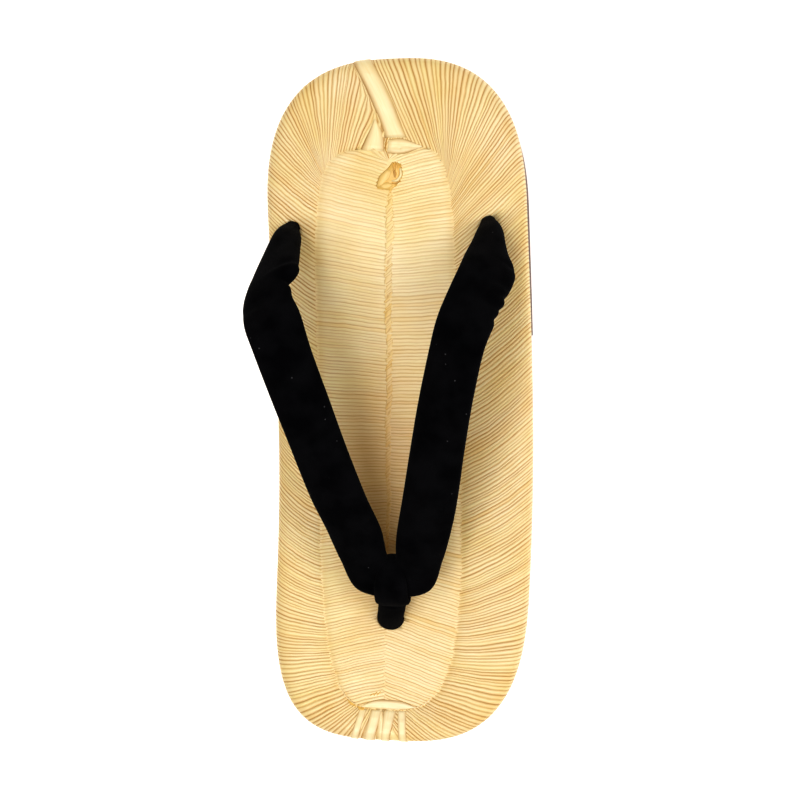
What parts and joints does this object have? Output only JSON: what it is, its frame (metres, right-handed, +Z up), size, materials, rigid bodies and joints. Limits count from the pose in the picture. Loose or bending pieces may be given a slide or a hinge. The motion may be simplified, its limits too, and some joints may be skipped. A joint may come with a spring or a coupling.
{
  "type": "setta sandal",
  "caption": "Flat Japanese sandal: woven bamboo-sheath top board, thin leather sole with a heel lift, and a padded black velvet V strap held by a toe loop.",
  "frame": {"origin": "centre of the bounding box, on the floor under the sole", "axes": "+Y from the toe to the heel, +Z up from the floor, +X to the wearer's left"},
  "size_m": [0.1038, 0.265, 0.0766],
  "materials": {
    "bamboo_sheath": "split bamboo sheath, woven in close ribs, light gloss",
    "sole_leather": "dark red-brown sole leather, burnished edge",
    "velvet": "black velvet, short pile"
  },
  "bodies": {
    "root": {"woven_top": "bamboo_sheath", "outsole": "sole_leather", "heel_lift": "sole_leather", "strap": "velvet", "toe_loop": "velvet"}
  },
  "joints": []
}
